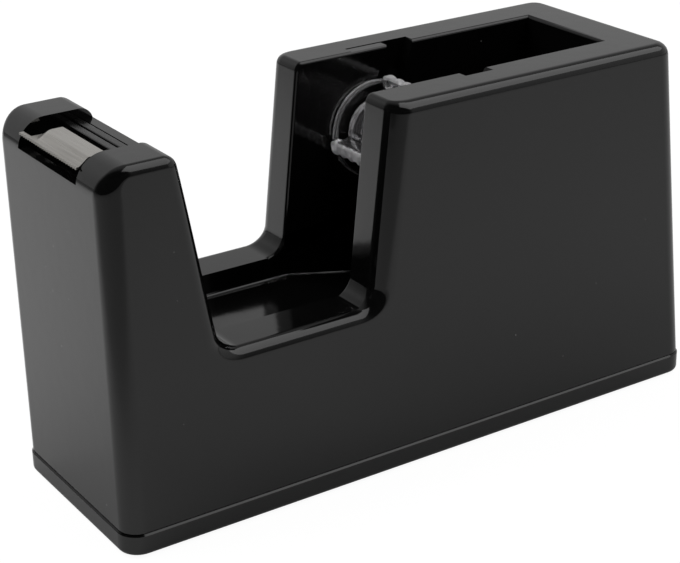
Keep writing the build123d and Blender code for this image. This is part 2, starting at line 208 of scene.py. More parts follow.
def add_node(tree, kind, links=(), **settings):
    """One node with its settings. A setting named in_NAME goes to that input; links are (input, socket)."""
    node = tree.nodes.new(kind)
    for key, value in sorted(settings.items(), key=lambda item: item[0].startswith("in_")):
        if key.startswith("in_"):
            name = key[3:]
            slot = int(name) if name.isdigit() else name.replace("_", " ")
            node.inputs[slot].default_value = value
        else:
            setattr(node, key, value)
    for target, source in links:
        tree.links.new(source, node.inputs[target])
    return node


def new_material(name):
    """Material with an empty node tree, its output and object coordinates."""
    material = bpy.data.materials.new(name)
    material.use_nodes = True
    tree = material.node_tree
    tree.nodes.clear()
    output = add_node(tree, "ShaderNodeOutputMaterial")
    place = add_node(tree, "ShaderNodeTexCoord").outputs["Object"]
    return material, tree, output, place


def shader_to(tree, output, links=(), **settings):
    """Join a Principled shader to the output."""
    shader = add_node(tree, "ShaderNodeBsdfPrincipled", links, **settings)
    tree.links.new(shader.outputs["BSDF"], output.inputs["Surface"])


def glossy_abs(colour):
    # Injection-moulded ABS from a polished mould: near black, and mirror smooth from afar. Close up the
    # gloss is broken by an orange-peel ripple 4 mm long, by wiped smudges 30 mm wide and by a few pale
    # specks of dust, in one of ten cells of 5 mm. A speck fades out over up to 0.5 mm, coarser than real
    # dust, so that it shows.
    material, tree, output, place = new_material("moulded_glossy_black_ABS")
    smudge = add_node(
        tree, "ShaderNodeTexNoise", [("Vector", place)], in_Scale=34.0, in_Detail=4.0, in_Roughness=0.6,
    )
    rough = add_node(
        tree, "ShaderNodeMapRange", [("Value", smudge.outputs["Fac"])],
        in_1=0.35, in_2=0.72, in_3=0.08, in_4=0.15,
    )
    film = add_node(
        tree, "ShaderNodeMix", [("Factor", smudge.outputs["Fac"])],
        data_type="RGBA", in_6=linear(colour), in_7=linear("#0C0C0C"),
    )
    peel = add_node(tree, "ShaderNodeTexNoise", [("Vector", place)], in_Scale=260.0, in_Detail=1.0)
    bump = add_node(
        tree, "ShaderNodeBump", [("Height", peel.outputs["Fac"])], in_Strength=0.05, in_Distance=0.0004,
    )
    cell = add_node(tree, "ShaderNodeTexVoronoi", [("Vector", place)], in_Scale=210.0)
    dot = add_node(
        tree, "ShaderNodeMapRange", [("Value", cell.outputs["Distance"])],
        in_1=0.05, in_2=0.025, in_3=0.0, in_4=0.6,
    )
    chance = add_node(tree, "ShaderNodeSeparateColor", [("Color", cell.outputs["Color"])])
    few = add_node(
        tree, "ShaderNodeMath", [(0, chance.outputs["Red"])], operation="GREATER_THAN", in_1=0.9,
    )
    speck = add_node(
        tree, "ShaderNodeMath", [(0, dot.outputs["Result"]), (1, few.outputs[0])], operation="MULTIPLY",
    )
    dusty = add_node(
        tree, "ShaderNodeMix", [("Factor", speck.outputs[0]), (6, film.outputs[2])],
        data_type="RGBA", in_7=linear("#8A8A88"),
    )
    shader_to(
        tree, output,
        [
            ("Base Color", dusty.outputs[2]),
            ("Roughness", rough.outputs["Result"]),
            ("Normal", bump.outputs["Normal"]),
        ],
        in_IOR=1.5,
    )
    return material


def satin_abs(colour):
    # The insert comes from a finely eroded mould, so its black is a little duller than the body's. The
    # grain is drawn 0.4 mm wide, coarser than real erosion marks, so that it shows.
    material, tree, output, place = new_material("moulded_satin_black_ABS")
    grain = add_node(tree, "ShaderNodeTexNoise", [("Vector", place)], in_Scale=2600.0, in_Detail=2.0)
    rough = add_node(
        tree, "ShaderNodeMapRange", [("Value", grain.outputs["Fac"])],
        in_1=0.3, in_2=0.7, in_3=0.2, in_4=0.32,
    )
    bump = add_node(
        tree, "ShaderNodeBump", [("Height", grain.outputs["Fac"])], in_Strength=0.08, in_Distance=0.0002,
    )
    shader_to(
        tree, output, [("Roughness", rough.outputs["Result"]), ("Normal", bump.outputs["Normal"])],
        in_Base_Color=linear(colour), in_IOR=1.5,
    )
    return material


def rolled_steel(colour):
    # Cold-rolled spring steel strip: the rolls leave fine lines along the strip, which stretch highlights.
    # They are drawn 0.24 mm apart and 11 mm long, coarser than real ones, so that they show.
    material, tree, output, place = new_material("rolled_spring_steel")
    stretch = add_node(tree, "ShaderNodeMapping", [("Vector", place)], in_Scale=(4200.0, 90.0, 4200.0))
    lines = add_node(
        tree, "ShaderNodeTexNoise", [("Vector", stretch.outputs["Vector"])], in_Scale=1.0, in_Detail=3.0,
    )
    rough = add_node(
        tree, "ShaderNodeMapRange", [("Value", lines.outputs["Fac"])],
        in_1=0.3, in_2=0.7, in_3=0.24, in_4=0.42,
    )
    bump = add_node(
        tree, "ShaderNodeBump", [("Height", lines.outputs["Fac"])], in_Strength=0.12, in_Distance=0.0001,
    )
    shader_to(
        tree, output, [("Roughness", rough.outputs["Result"]), ("Normal", bump.outputs["Normal"])],
        in_Base_Color=linear(colour), in_Metallic=1.0,
    )
    return material


def clear_styrene(colour):
    # Moulded clear polystyrene: glassy, bright at its edges, with faint flow ripples 2.4 mm apart.
    material, tree, output, place = new_material("moulded_clear_polystyrene")
    flow = add_node(tree, "ShaderNodeTexNoise", [("Vector", place)], in_Scale=420.0, in_Detail=1.0)
    bump = add_node(
        tree, "ShaderNodeBump", [("Height", flow.outputs["Fac"])], in_Strength=0.06, in_Distance=0.0003,
    )
    # Away from the axle the plastic turns milky, as if from an etched part of the mould: the tops of the
    # gripping bars fully, and the outer face of the ring in part.
    centred = add_node(
        tree, "ShaderNodeVectorMath", [(0, place)],
        operation="SUBTRACT", in_1=(AXLE_X * MM, 0, AXLE_Z * MM),
    )
    across = add_node(
        tree, "ShaderNodeVectorMath", [(0, centred.outputs[0])], operation="MULTIPLY", in_1=(1.0, 0.0, 1.0),
    )
    radius = add_node(tree, "ShaderNodeVectorMath", [(0, across.outputs[0])], operation="LENGTH")
    frost = add_node(
        tree, "ShaderNodeMapRange", [("Value", radius.outputs["Value"])],
        in_1=FROST_STARTS * MM, in_2=FROST_FULL * MM, in_3=0.0, in_4=1.0,
    )
    rough = add_node(
        tree, "ShaderNodeMapRange", [("Value", frost.outputs["Result"])], in_3=0.06, in_4=0.4,
    )
    through = add_node(
        tree, "ShaderNodeMapRange", [("Value", frost.outputs["Result"])], in_3=0.97, in_4=0.62,
    )
    shader_to(
        tree, output,
        [
            ("Normal", bump.outputs["Normal"]),
            ("Roughness", rough.outputs["Result"]),
            ("Transmission Weight", through.outputs["Result"]),
        ],
        in_Base_Color=linear(colour), in_IOR=1.59,
    )
    return material


def pad_rubber():
    # Die-cut foam rubber sheet: matte, dark, with an open grain of 0.7 mm.
    material, tree, output, place = new_material("die_cut_foam_rubber")
    grain = add_node(tree, "ShaderNodeTexNoise", [("Vector", place)], in_Scale=1500.0, in_Detail=3.0)
    tone = add_node(
        tree, "ShaderNodeMapRange", [("Value", grain.outputs["Fac"])],
        in_1=0.3, in_2=0.7, in_3=0.75, in_4=0.92,
    )
    bump = add_node(
        tree, "ShaderNodeBump", [("Height", grain.outputs["Fac"])], in_Strength=0.4, in_Distance=0.0003,
    )
    shader_to(
        tree, output, [("Roughness", tone.outputs["Result"]), ("Normal", bump.outputs["Normal"])],
        in_Base_Color=linear("#2B2B2C"),
    )
    return material


def cast_iron():
    # Sand-cast grey iron, as cast: dark, rough and slightly mottled. The print of the sand is drawn 1.1 mm
    # wide, coarser than a real one, so that it shows.
    material, tree, output, place = new_material("sand_cast_grey_iron")
    sand = add_node(tree, "ShaderNodeTexNoise", [("Vector", place)], in_Scale=900.0, in_Detail=5.0)
    mottle = add_node(
        tree, "ShaderNodeMix", [("Factor", sand.outputs["Fac"])],
        data_type="RGBA", in_6=linear("#4A4845"), in_7=linear("#6E6B67"),
    )
    bump = add_node(
        tree, "ShaderNodeBump", [("Height", sand.outputs["Fac"])], in_Strength=0.5, in_Distance=0.0004,
    )
    shader_to(
        tree, output, [("Base Color", mottle.outputs[2]), ("Normal", bump.outputs["Normal"])],
        in_Metallic=0.7, in_Roughness=0.7,
    )
    return material


def zinc_plate():
    # Zinc-plated screw: pale bluish metal with a sheen that varies softly over 1.4 mm.
    material, tree, output, place = new_material("zinc_plated_steel")
    sheen = add_node(tree, "ShaderNodeTexNoise", [("Vector", place)], in_Scale=700.0, in_Detail=2.0)
    rough = add_node(
        tree, "ShaderNodeMapRange", [("Value", sheen.outputs["Fac"])],
        in_1=0.3, in_2=0.7, in_3=0.28, in_4=0.45,
    )
    shader_to(
        tree, output, [("Roughness", rough.outputs["Result"])],
        in_Base_Color=linear("#B9BCC0"), in_Metallic=1.0,
    )
    return material


# ---------------------------------------------------------------- modelling helpers


def alone(piece):
    """Object mode, with only this piece selected and active."""
    if bpy.context.mode != "OBJECT":
        bpy.ops.object.mode_set(mode="OBJECT")
    bpy.ops.object.select_all(action="DESELECT")
    piece.select_set(True)
    bpy.context.view_layer.objects.active = piece


def pick(piece, kind, test):
    """Edit mode, with only the vertices, edges or faces selected that pass the test."""
    alone(piece)
    bpy.ops.object.mode_set(mode="EDIT")
    bpy.ops.mesh.select_mode(type=kind)
    bpy.ops.mesh.select_all(action="DESELECT")
    mesh = bmesh.from_edit_mesh(piece.data)
    for item in {"VERT": mesh.verts, "EDGE": mesh.edges, "FACE": mesh.faces}[kind]:
        item.select_set(bool(test(item)))
    mesh.select_flush_mode()
    bmesh.update_edit_mesh(piece.data)


def done():
    """Back to object mode."""
    bpy.ops.object.mode_set(mode="OBJECT")


def middle(edge):
    """Middle of an edge, in millimetres."""
    return (edge.verts[0].co + edge.verts[1].co) / 2 / MM


def bevel(piece, test, radius, segments):
    """Round the edges that pass the test. radius is in metres."""
    pick(piece, "EDGE", test)
    bpy.ops.mesh.bevel(offset=radius, segments=segments, profile=0.5, affect="EDGES")
    done()


def modify(piece, kind, **settings):
    """Add a modifier and apply it."""
    modifier = piece.modifiers.new(kind.lower(), kind)
    for key, value in settings.items():
        setattr(modifier, key, value)
    alone(piece)
    bpy.ops.object.modifier_apply(modifier=modifier.name)


def block(name, x0, x1, y0, y1, z0, z1):
    """Cube stretched between these limits, in millimetres."""
    if bpy.context.mode != "OBJECT":
        bpy.ops.object.mode_set(mode="OBJECT")
    bpy.ops.object.select_all(action="DESELECT")
    bpy.ops.mesh.primitive_cube_add(
        size=1,
        location=((x0 + x1) / 2 * MM, (y0 + y1) / 2 * MM, (z0 + z1) / 2 * MM),
        scale=((x1 - x0) * MM, (y1 - y0) * MM, (z1 - z0) * MM),
    )
    piece = bpy.context.active_object
    piece.name = piece.data.name = name
    bpy.ops.object.transform_apply(location=True, rotation=True, scale=True)
    return piece


def rod(name, x, z, radius, y0, y1, sides):
    """Cylinder along Y, in millimetres."""
    if bpy.context.mode != "OBJECT":
        bpy.ops.object.mode_set(mode="OBJECT")
    bpy.ops.object.select_all(action="DESELECT")
    bpy.ops.mesh.primitive_cylinder_add(
        vertices=sides, radius=radius * MM, depth=(y1 - y0) * MM,
        location=(x * MM, (y0 + y1) / 2 * MM, z * MM), rotation=(math.pi / 2, 0, 0),
    )
    piece = bpy.context.active_object
    piece.name = piece.data.name = name
    bpy.ops.object.transform_apply(location=True, rotation=True, scale=True)
    return piece


def slide_corner(piece, test, dx, dz=0.0):
    """Move the vertices that pass the test, in millimetres."""
    pick(piece, "VERT", lambda v: test(v.co / MM))
    bpy.ops.transform.translate(value=(dx * MM, 0, dz * MM))
    done()


def combine(piece, other, operation):
    """Boolean with another mesh, which is used up."""
    modify(piece, "BOOLEAN", object=other, operation=operation, solver="EXACT")
    bpy.data.objects.remove(other, do_unlink=True)


def clean(piece):
    """Merge points that lie on each other, so that the next boolean has no slivers to fail on."""
    pick(piece, "VERT", lambda v: True)
    bpy.ops.mesh.remove_doubles(threshold=0.01 * MM)
    bpy.ops.mesh.dissolve_degenerate(threshold=0.01 * MM)
    done()


def polish(piece, angle=32.0):
    """Smooth shading that keeps flat faces flat and sharp edges sharp."""
    alone(piece)
    bpy.ops.object.shade_smooth_by_angle(angle=math.radians(angle))
    modify(piece, "WEIGHTED_NORMAL", mode="FACE_AREA", weight=100, keep_sharp=True)


def finish_piece(piece, body, slot, material, *nodes):
    """Give a piece its finish, the body it rides on and the nodes it stands in for. slot is not used."""
    piece.data.materials.clear()
    piece.data.materials.append(material)
    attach(piece, body)
    if nodes:
        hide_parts(*nodes)


# ---------------------------------------------------------------- the moulding


def tower_rear_at(z):
    """X of the tower's leaning rear face at this height."""
    return TOWER_REAR_X + (TOP_Z - z) * TOWER_REAR_LEAN / (TOP_Z - RIM_Z)


def housing_front_at(z):
    """X of the housing's leaning front face at this height."""
    return HOUSING_FRONT_X - (TOP_Z - z) * HOUSING_FRONT_LEAN / (TOP_Z - RIM_Z)


def housing_rear_at(z):
    """X of the housing's leaning rear face at this height."""
    return HOUSING_REAR_X + (TOP_Z - z) * (REAR_X - HOUSING_REAR_X) / (TOP_Z - SEAM_Z)


def well_rear_at(z):
    """X of the roll well's leaning rear wall at this height."""
    return HOUSING_REAR_X - WELL_REAR_WALL - (TOP_Z - z) * WELL_REAR_LEAN / (TOP_Z - TROUGH_FLOOR_Z)


def side_stations(corners, arc_steps=12, run_step=3.0):
    """Points round a side outline as (x, z, inward x, inward z, side rounding).

    A corner is (x, z, arc radius, rounding before it, rounding after it), clockwise seen from -Y.
    """
    stations = []
    count = len(corners)
    ends = []
    for i in range(count):
        here = Vector(corners[i][:2])
        before = (Vector(corners[i - 1][:2]) - here).normalized()
        after = (Vector(corners[(i + 1) % count][:2]) - here).normalized()
        turn = math.pi - before.angle(after)
        reach = corners[i][2] * math.tan(turn / 2)
        ends.append((here, before, after, reach))
    for i in range(count):
        here, before, after, reach = ends[i]
        radius, r_in, r_out = corners[i][2:]
        inward_in = Vector((-before.y, before.x))
        inward_out = Vector((after.y, -after.x))
        if radius == 0:
            both = inward_in + inward_out
            both *= 1 / (1 + inward_in.dot(inward_out))
            stations.append((here.x, here.y, both.x, both.y, r_in))
        else:
            start = here + before * reach
            convex = (before + after).dot(inward_in) > 0
            centre = start + inward_in * (radius if convex else -radius)
            for k in range(arc_steps + 1):
                t = k / arc_steps
                inward = inward_in.slerp(inward_out, t) if 0 < t < 1 else (inward_in, inward_out)[int(t)]
                point = centre - inward * (radius if convex else -radius)
                ease = t * t * (3 - 2 * t)
                stations.append((point.x, point.y, inward.x, inward.y, r_in + (r_out - r_in) * ease))
        nxt = (i + 1) % count
        r_next = corners[nxt][3]
        run_start = here + after * reach
        run_end = ends[nxt][0] + ends[nxt][1] * ends[nxt][3]
        length = (run_end - run_start).length
        if abs(r_next - r_out) > 1e-6 and length > run_step:
            steps = int(length / run_step)
            for k in range(1, steps):
                t = k / steps
                point = run_start.lerp(run_end, t)
                ease = t * t * (3 - 2 * t)
                r = r_out + (r_next - r_out) * ease
                stations.append((point.x, point.y, inward_out.x, inward_out.y, r))
    return stations


def rounded_slab(name, stations, half, rounding_steps=8):
    """Slab with this side outline, whose side edges have a rounding that changes along them.

    A bevel can't change its radius along an edge, so the rings of the rounding are placed in code.
    """
    mesh = bmesh.new()
    rings = {}
    for side in (-1, 1):
        for k in range(rounding_steps + 1):
            angle = math.pi / 2 * k / rounding_steps
            rings[side, k] = [
                mesh.verts.new(
                    Vector((
                        x + nx * r * (1 - math.cos(angle)),
                        side * (half - r + r * math.sin(angle)),
                        z + nz * r * (1 - math.cos(angle)),
                    )) * MM
                )
                for x, z, nx, nz, r in stations
            ]
    count = len(stations)
    pairs = [((-1, 0), (1, 0))]
    pairs += [((side, k), (side, k + 1)) for side in (-1, 1) for k in range(rounding_steps)]
    for a, b in pairs:
        for i in range(count):
            j = (i + 1) % count
            mesh.faces.new((rings[a][i], rings[a][j], rings[b][j], rings[b][i]))
    for side in (-1, 1):
        mesh.faces.new(rings[side, rounding_steps])
    bmesh.ops.recalc_face_normals(mesh, faces=mesh.faces)
    data = bpy.data.meshes.new(name)
    mesh.to_mesh(data)
    mesh.free()
    piece = bpy.data.objects.new(name, data)
    bpy.context.scene.collection.objects.link(piece)
    return piece


def well_cutters(floor_rounding):
    """The trough, the sloping floor behind it, the foot of the well and its mouth, as separate cutters."""
    half = HALF_CHANNEL
    # Corners below this height belong to the floor of a cut.
    low = 40
    trough = block("cut_trough", -50, 40, -half, half, TROUGH_FLOOR_Z, 50)
    slide_corner(trough, lambda c: c.x < -40 and c.z < low, tower_rear_at(TROUGH_FLOOR_Z) + 50)
    slide_corner(trough, lambda c: c.x < -40 and c.z > low, tower_rear_at(50) + 50)

    def trough_front(edge):
        at = middle(edge)
        return at.x < -40 and at.z < 36 and abs(at.y) < 1

    def trough_sides(edge):
        at = middle(edge)
        return abs(abs(at.y) - half) < 0.01 and at.z < 49 and at.x < 39

    bevel(trough, trough_front, TROUGH_FRONT_ROUNDING * MM, 8)
    bevel(trough, trough_sides, floor_rounding, 5)

    # The floor goes on to the rear at a slight slope, down to the flat foot of the well.
    slope = block("cut_slope", SLOPE_X, SLOPE_REAR_X, -half, half, WELL_FLOOR_Z, 70)
    slide_corner(slope, lambda c: c.x < 0 and c.z < low, 0, TROUGH_FLOOR_Z - WELL_FLOOR_Z)
    slope_middle = (SLOPE_X + SLOPE_REAR_X) / 2

    def slope_sides(edge):
        at = middle(edge)
        return abs(abs(at.y) - half) < 0.01 and at.z < 36 and abs(at.x - slope_middle) < 1

    bevel(slope, slope_sides, floor_rounding / 2, 4)

    foot = block("cut_foot", FOOT_X, WELL_REAR_X, -half, half, WELL_FLOOR_Z, 70)
    slide_corner(foot, lambda c: c.x > 50 and c.z < low, well_rear_at(WELL_FLOOR_Z) - WELL_REAR_X)
    slide_corner(foot, lambda c: c.x > 50 and c.z > low, well_rear_at(70) - WELL_REAR_X)

    def foot_rear(edge):
        at = middle(edge)
        return at.x > 50 and at.z < 30 and abs(at.y) < 1

    bevel(foot, foot_rear, WELL_REAR_ROUNDING * MM, 16)

    top = TOP_Z + SPARE
    mouth = block("cut_mouth", -30, WELL_REAR_X, -half, half, 45, top)
    slide_corner(mouth, lambda c: c.x > 50 and c.z < 60, well_rear_at(45) - WELL_REAR_X)
    slide_corner(mouth, lambda c: c.x > 50 and c.z > 60, well_rear_at(top) - WELL_REAR_X)
    return [trough, slope, foot, mouth]


def well_block(floor_rounding):
    """The whole roll well as one mesh."""
    first, *rest = well_cutters(floor_rounding)
    for other in rest:
        combine(first, other, "UNION")
    return first


def round_rim(body, radius, front_share):
    """Round the housing's top edge, with a smaller radius along its front."""
    mesh = body.data
    weights = mesh.attributes.new("bevel_weight_edge", "FLOAT", "EDGE")
    for edge in mesh.edges:
        ends = [mesh.vertices[i].co / MM for i in edge.vertices]
        if all(abs(c.z - TOP_Z) < 0.01 and c.x > -20 for c in ends):
            along = (ends[1] - ends[0]).normalized()
            front = along.y ** 2 if ends[0].x < 0 else 0.0
            weights.data[edge.index].value = 1 - (1 - front_share) * front
    modify(body, "BEVEL", width=radius, segments=6, limit_method="WEIGHT", use_clamp_overlap=False)
    mesh.attributes.remove(mesh.attributes["bevel_weight_edge"])


def round_mouth(body, radius):
    """Round the inner edges of the roll opening, from the housing's rim down to the saddle."""

    def on_mouth(edge):
        for v in edge.verts:
            c = v.co / MM
            inner = abs(abs(c.y) - HALF_CHANNEL) < 0.01
            rear = abs(c.x - well_rear_at(TOP_Z)) < 0.01 and abs(c.z - TOP_Z) < 0.01
            if not (inner or rear) or c.z < RIM_Z - 0.01 or c.x < tower_rear_at(RIM_Z) + 7.5:
                return False
        return edge.is_convex and edge.calc_face_angle(0) > math.radians(20)

    bevel(body, on_mouth, radius, 4)


def slot_cutters():
    """Slanted spool slots, open at the rim, with the shallow ledges round their mouths."""
    slant = math.atan2(SLOT_LEAN, TOP_Z - AXLE_Z)
    floor_y = HALF_CHANNEL + SLOT_DEPTH
    cutters = []
    for side in (-1, 1):
        y0, y1 = sorted((side * (HALF_CHANNEL - 2), side * floor_y))
        slot = block("cut_slot", -SLOT_HALF, SLOT_HALF, y0, y1, 0, 30)
        alone(slot)
        slot.rotation_euler = (0, slant, 0)
        slot.location = (AXLE_X * MM, 0, AXLE_Z * MM)
        bpy.ops.object.transform_apply(location=True, rotation=True, scale=True)
        seat = rod("cut_seat", AXLE_X, AXLE_Z, SLOT_HALF, y0, y1, 48)
        combine(slot, seat, "UNION")
        # Towards the rim each slot widens to the rear.
        flare = block("cut_flare", 17, 22.6, y0, y1, 72, TOP_Z + 3)
        slide_corner(flare, lambda c: c.x > 20 and c.z < 75, -4.2)
        slide_corner(flare, lambda c: c.x > 20 and c.z > 75, 1.1)
        combine(slot, flare, "UNION")
        ledge = block("cut_ledge", LEDGE_X, LEDGE_REAR_X, y0, y1, TOP_Z - LEDGE_DEPTH, TOP_Z + 3)
        combine(slot, ledge, "UNION")
        cutters.append(slot)
    return cutters


def cutter_channel():
    """Channel between the cheeks, with the pocket for the insert."""
    half, top = HALF_CHANNEL, TOP_Z + 4
    rear = tower_rear_at(BED_REAR_Z) - CUTTER_WALL
    channel = block("cut_channel", FRONT_X + CUTTER_WALL, rear, -half, half, SEAT_Z, top)
    front = block("cut_front", FRONT_X - 4, FRONT_X + 4, -half, half, FRONT_WALL_Z, top)
    combine(channel, front, "UNION")
    back = block("cut_back", rear - 2, rear + 8, -half, half, REAR_WALL_Z, top)
    combine(channel, back, "UNION")
    return channel


class TAPE_OT_moulding(bpy.types.Operator):
    """Model the black moulded body around the CAD shell"""

    bl_idname = "tape.moulding"
    bl_label = "Body moulding"

    def execute(self, context):
        settings = context.scene.tape_moulding
        corner, cheek, saddle = settings.corner / MM, settings.cheek / MM, settings.saddle / MM
        bend = settings.bend / MM
        low, high = SEAM_Z - SPARE, TOP_Z + SPARE
        corners = [
            (FRONT_X, low, 0, corner, corner),
            (FRONT_X, TOP_Z, 6.5, corner, cheek),
            (TOWER_REAR_X, TOP_Z, 3.0, cheek, 2.6),
            (tower_rear_at(RIM_Z), RIM_Z, bend, 4.0, saddle),
            (housing_front_at(RIM_Z), RIM_Z, bend, saddle, corner),
            (housing_front_at(high), high, 0, corner, corner),
            (housing_rear_at(high), high, 0, corner, corner),
            (housing_rear_at(low), low, 0, corner, corner),
        ]
        body = rounded_slab("body_moulding", side_stations(corners), HALF_WIDTH)
        combine(body, block("cut_top", -30, 90, -40, 40, TOP_Z, TOP_Z + 2 * SPARE), "DIFFERENCE")
        combine(body, block("cut_foot_line", -90, 90, -40, 40, SEAM_Z - 2 * SPARE, SEAM_Z), "DIFFERENCE")
        round_rim(body, settings.rim, settings.rim_front / settings.rim)
        foot = lambda e: all(abs(v.co.z / MM - SEAM_Z) < 0.01 for v in e.verts)
        bevel(body, foot, 0.35 * MM, 2)
        combine(body, well_block(settings.trough), "DIFFERENCE")
        round_mouth(body, settings.mouth)
        clean(body)
        for cutter in slot_cutters() + [cutter_channel()]:
            combine(body, cutter, "DIFFERENCE")
        finish_piece(body, "body", "body_black", glossy_abs(context.scene.tape_finish.body), "body_shell")
        polish(body)
        return {"FINISHED"}


# ---------------------------------------------------------------- cutter


class TAPE_OT_insert(bpy.types.Operator):
    """Model the ribbed insert that carries the blade"""

    bl_idname = "tape.insert"
    bl_label = "Cutter insert"

    def execute(self, context):
        half = HALF_CHANNEL - INSERT_GAP
        front, rear = FRONT_X + 3.9, tower_rear_at(BED_REAR_Z) - 2.35
        insert = block("cutter_insert", front, rear, -half, half, SEAT_Z, BED_TOP_Z)

        def top_front(edge):
            at = middle(edge)
            return at.x < front + 0.1 and at.z > 81.8 and abs(at.y) < 1

        bevel(insert, top_front, 0.4 * MM, 3)
        rib_front = -66.1
        combine(insert, block("cut_gap", -69.8, rib_front, -20, 20, 80.0, 90), "DIFFERENCE")
        for x0, x1 in ((rib_front, -64.35), (-63.9, -62.15)):
            rib = block("rib", x0, x1, -half, half, 81.0, RIB_TOP_Z)
            bevel(rib, lambda e: middle(e).z > 82.9 and abs(middle(e).y) < 1, 0.25 * MM, 3)
            combine(insert, rib, "UNION")
        pedestal = block("pedestal", -72.6, -69.85, -10.9, 5.9, 81.5, 83.6)
        combine(insert, pedestal, "UNION")
        # Beyond the platform's far end the insert is open, and only the blade's teeth bridge the gap.
        pocket = block("cut_pocket", -80, rib_front, POCKET_Y, 20, 78.6, 90)
        combine(insert, pocket, "DIFFERENCE")
        finish_piece(insert, "body", "bed_black", satin_abs(context.scene.tape_finish.bed), "cutter_bed")
        polish(insert)
        return {"FINISHED"}


def hump_at(x, y):
    """Share of the platform's full height at this place of the blade, given in millimetres.

    The platform has a rounded far corner, and ramps that ease in and out over the share soft.
    """
    corner, ramp, soft = 4.0, 2.1, 0.12
    front, side = x - HUMP_X, HUMP_FAR_Y - y
    if front < corner and side < corner:
        inside = corner - math.hypot(corner - front, corner - side)
    else:
        inside = min(front, side)
    t = inside / ramp
    if t < soft:
        return max(0.0, t + soft) ** 2 / (4 * soft)
    if t > 1 - soft:
        return 1 - max(0.0, 1 + soft - t) ** 2 / (4 * soft)
    return t


class TAPE_OT_blade(bpy.types.Operator):
    """Model the pressed steel blade with its teeth and raised platform"""

    bl_idname = "tape.blade"
    bl_label = "Toothed blade"

    def execute(self, context):
        settings = context.scene.tape_cutter
        x0, x1 = BLADE_X, BLADE_REAR_X
        columns, rows = 28, 106
        bpy.ops.object.select_all(action="DESELECT")
        bpy.ops.mesh.primitive_grid_add(
            x_subdivisions=columns, y_subdivisions=rows, size=1,
            location=((x0 + x1) / 2 * MM, 0, BLADE_Z * MM),
        )
        blade = context.active_object
        blade.name = blade.data.name = "toothed_blade"
        blade.scale = ((x1 - x0) * MM, 2 * BLADE_HALF * MM, 1)
        bpy.ops.object.transform_apply(location=True, rotation=True, scale=True)
        pitch, depth = settings.tooth_pitch / MM, settings.tooth_depth / MM
        step = (x1 - x0) / columns
        # The first column becomes the teeth, and the others share the width behind them.
        strip = depth + 0.05
        for v in blade.data.vertices:
            column = round((v.co.x / MM - x0) / step)
            y = v.co.y / MM
            x = x0 + strip + (column - 1) * (x1 - x0 - strip) / (columns - 1)
            if column == 0:
                x = x0 + depth * (1 - abs(2 * ((y / pitch) % 1) - 1))
            v.co.x = x * MM
            v.co.z += settings.hump_height * hump_at(x, y)

        def beyond_strip(face):
            at = face.calc_center_median()
            return at.y / MM > POCKET_Y and at.x / MM > x0 + BLADE_STRIP

        # Beyond the platform's far end only the strip behind the teeth is left.
        pick(blade, "FACE", beyond_strip)
        bpy.ops.mesh.delete(type="FACE")
        done()
        down = (0, 0, -BLADE_THICKNESS * MM)
        pick(blade, "FACE", lambda f: True)
        bpy.ops.mesh.extrude_region_move(TRANSFORM_OT_translate={"value": down})
        bpy.ops.mesh.select_all(action="SELECT")
        bpy.ops.mesh.normals_make_consistent(inside=False)
        done()
        # The rear edge is folded down into the insert.
        folded = x1 - 2.5 * step
        down = (0, 0, -BLADE_FOLD * MM)
        pick(blade, "FACE", lambda f: f.normal.z < -0.5 and f.calc_center_median().x / MM > folded)
        bpy.ops.mesh.extrude_region_move(TRANSFORM_OT_translate={"value": down})
        done()
        steel = rolled_steel(context.scene.tape_finish.steel)
        finish_piece(blade, "body", "blade_steel", steel, "cutter_blade")
        polish(blade, 35)
        return {"FINISHED"}


# ---------------------------------------------------------------- clear core


def core_half(side, bumps):
    """Hub, end ring, three fins and three gripping bars of one half of the core."""
    end = CORE_HALF
    span = sorted((0, side * end))
    name = "core_far" if side > 0 else "core_near"
    core = rod(name, AXLE_X, AXLE_Z, HUB_RADIUS, *span, 64)
    for turn in BAR_TURNS:
        bar = block("bar", 6.9, 12.0, *span, -0.55, 0.55)
        crown = block("crown", 10.7, 12.2, *span, -1.3, 1.3)
        bevel(crown, lambda e: abs(middle(e).y - (span[0] + span[1]) / 2) < 1, 0.7 * MM, 4)
        combine(bar, crown, "UNION")
        # Each bar has a row of small knobs and a larger one at its outer end: place along X and Y, and size.
        knobs = [(11.7, end * (k + 0.5) / bumps, (1.0, 1.1, 1.55)) for k in range(bumps)]
        knobs.append((11.1, end - 1.3, (1.7, 1.3, 1.9)))
        for x, y, size in knobs:
            bpy.ops.object.select_all(action="DESELECT")
            bpy.ops.mesh.primitive_uv_sphere_add(
                segments=24, ring_count=16, radius=MM, location=(x * MM, side * y * MM, 0), scale=size,
            )
            knob = bpy.context.active_object
            bpy.ops.object.transform_apply(location=True, rotation=True, scale=True)
            combine(bar, knob, "UNION")
        alone(bar)
        bar.rotation_euler = (0, -math.radians(turn), 0)
        bar.location = (AXLE_X * MM, 0, AXLE_Z * MM)
        bpy.ops.object.transform_apply(location=True, rotation=True, scale=True)
        combine(core, bar, "UNION")
    ring_span = sorted((side * end, side * (end - RING_WIDTH)))
    ring = rod("ring", AXLE_X, AXLE_Z, RING_OUTER, *ring_span, 96)
    hole = rod("cut_ring", AXLE_X, AXLE_Z, RING_INNER, ring_span[0] - 1, ring_span[1] + 1, 96)
    combine(ring, hole, "DIFFERENCE")
    combine(core, ring, "UNION")
    bore = rod("cut_bore", AXLE_X, AXLE_Z, BORE_RADIUS, span[0] - 1, span[1] + 1, 64)
    combine(core, bore, "DIFFERENCE")
    return core


